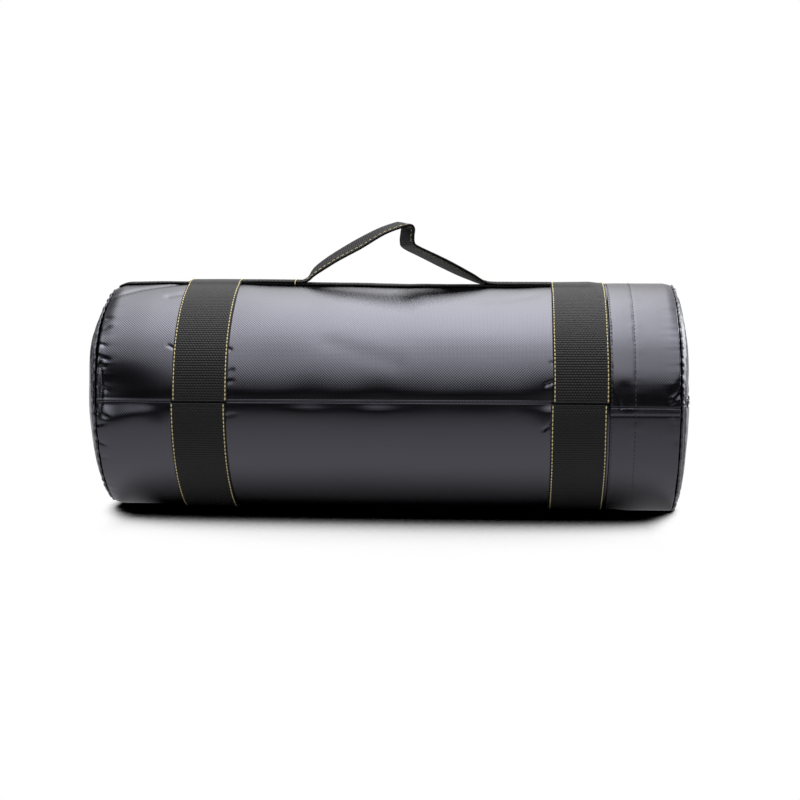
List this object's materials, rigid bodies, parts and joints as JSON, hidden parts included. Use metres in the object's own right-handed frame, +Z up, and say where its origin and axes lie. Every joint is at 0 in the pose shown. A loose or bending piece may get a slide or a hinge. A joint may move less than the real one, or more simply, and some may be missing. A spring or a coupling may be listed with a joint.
{
  "type": "sandbag trainer",
  "caption": "Round black coated-fabric sandbag lying on its side, with webbing bands, a webbing top handle and a zipped end that takes tied sand fillers.",
  "frame": {"origin": "under the middle of the bag, on the surface that its two bands rest on", "axes": "+X along the bag towards its zipped end, front seam facing -Y, +Z up through the handle"},
  "size_m": [0.5651, 0.2198, 0.2702],
  "materials": {
    "coated_fabric": "glossy black coated fabric with a fine diamond emboss",
    "smooth_coated_fabric": "glossy black coated fabric, smooth",
    "webbing": "black ribbed webbing with yellow lock stitching",
    "woven_tape": "black woven tape",
    "zip_plastic": "black moulded coil",
    "zip_steel": "dark plated metal",
    "foam": "grey closed-cell foam",
    "filler_nylon": "dark proofed nylon",
    "sand": "dry sand",
    "tie_cord": "natural cord"
  },
  "bodies": {
    "bag": {"upper_panel": "coated_fabric", "lower_panel": "coated_fabric", "cuff_upper": "smooth_coated_fabric", "cuff_lower": "smooth_coated_fabric", "left_end_disc": "coated_fabric", "right_end_disc_upper": "smooth_coated_fabric", "right_end_disc_lower": "smooth_coated_fabric", "left_rim_binding": "woven_tape", "right_rim_binding": "woven_tape", "left_band_upper": "webbing", "left_band_lower": "webbing", "right_band_upper": "webbing", "right_band_lower": "webbing", "spine_webbing": "webbing", "handle_tail_left": "webbing", "handle_tail_right": "webbing", "zip_tape_upper": "woven_tape", "zip_tape_lower": "woven_tape", "zip_coil_upper": "zip_plastic", "zip_coil_lower": "zip_plastic", "zip_stop_rear": "zip_steel", "zip_stop_front": "zip_steel", "foam_sleeve": "foam", "foam_pad_left": "foam", "foam_pad_right": "foam", "filler_1_sack": "filler_nylon", "filler_1_sand": "sand", "filler_1_tie": "tie_cord", "filler_2_sack": "filler_nylon", "filler_2_sand": "sand", "filler_2_tie": "tie_cord", "filler_3_sack": "filler_nylon", "filler_3_sand": "sand", "filler_3_tie": "tie_cord", "filler_4_sack": "filler_nylon", "filler_4_sand": "sand", "filler_4_tie": "tie_cord"},
    "handle": {"handle_strap": "webbing"},
    "slider": {"zip_slider": "zip_steel"},
    "puller": {"zip_puller": "zip_steel"}
  },
  "joints": [
    {"name": "handle_swing", "type": "hinge", "parent": "bag", "child": "handle", "pos_m": [0.00237, 0, 0.2333], "axis": [1, 0, 0], "range_deg": [-80, 80], "stiffness_Nm_per_rad": 0.05},
    {"name": "zip_travel", "type": "hinge", "parent": "bag", "child": "slider", "pos_m": [-0.08625, 0, 0.1039], "axis": [0, 0, 1], "range_deg": [-25.29, 0]},
    {"name": "puller_tilt", "type": "hinge", "parent": "slider", "child": "puller", "pos_m": [0.27538, 0.08115, 0.1039], "axis": [0, 0, 1], "range_deg": [0, 170]}
  ]
}
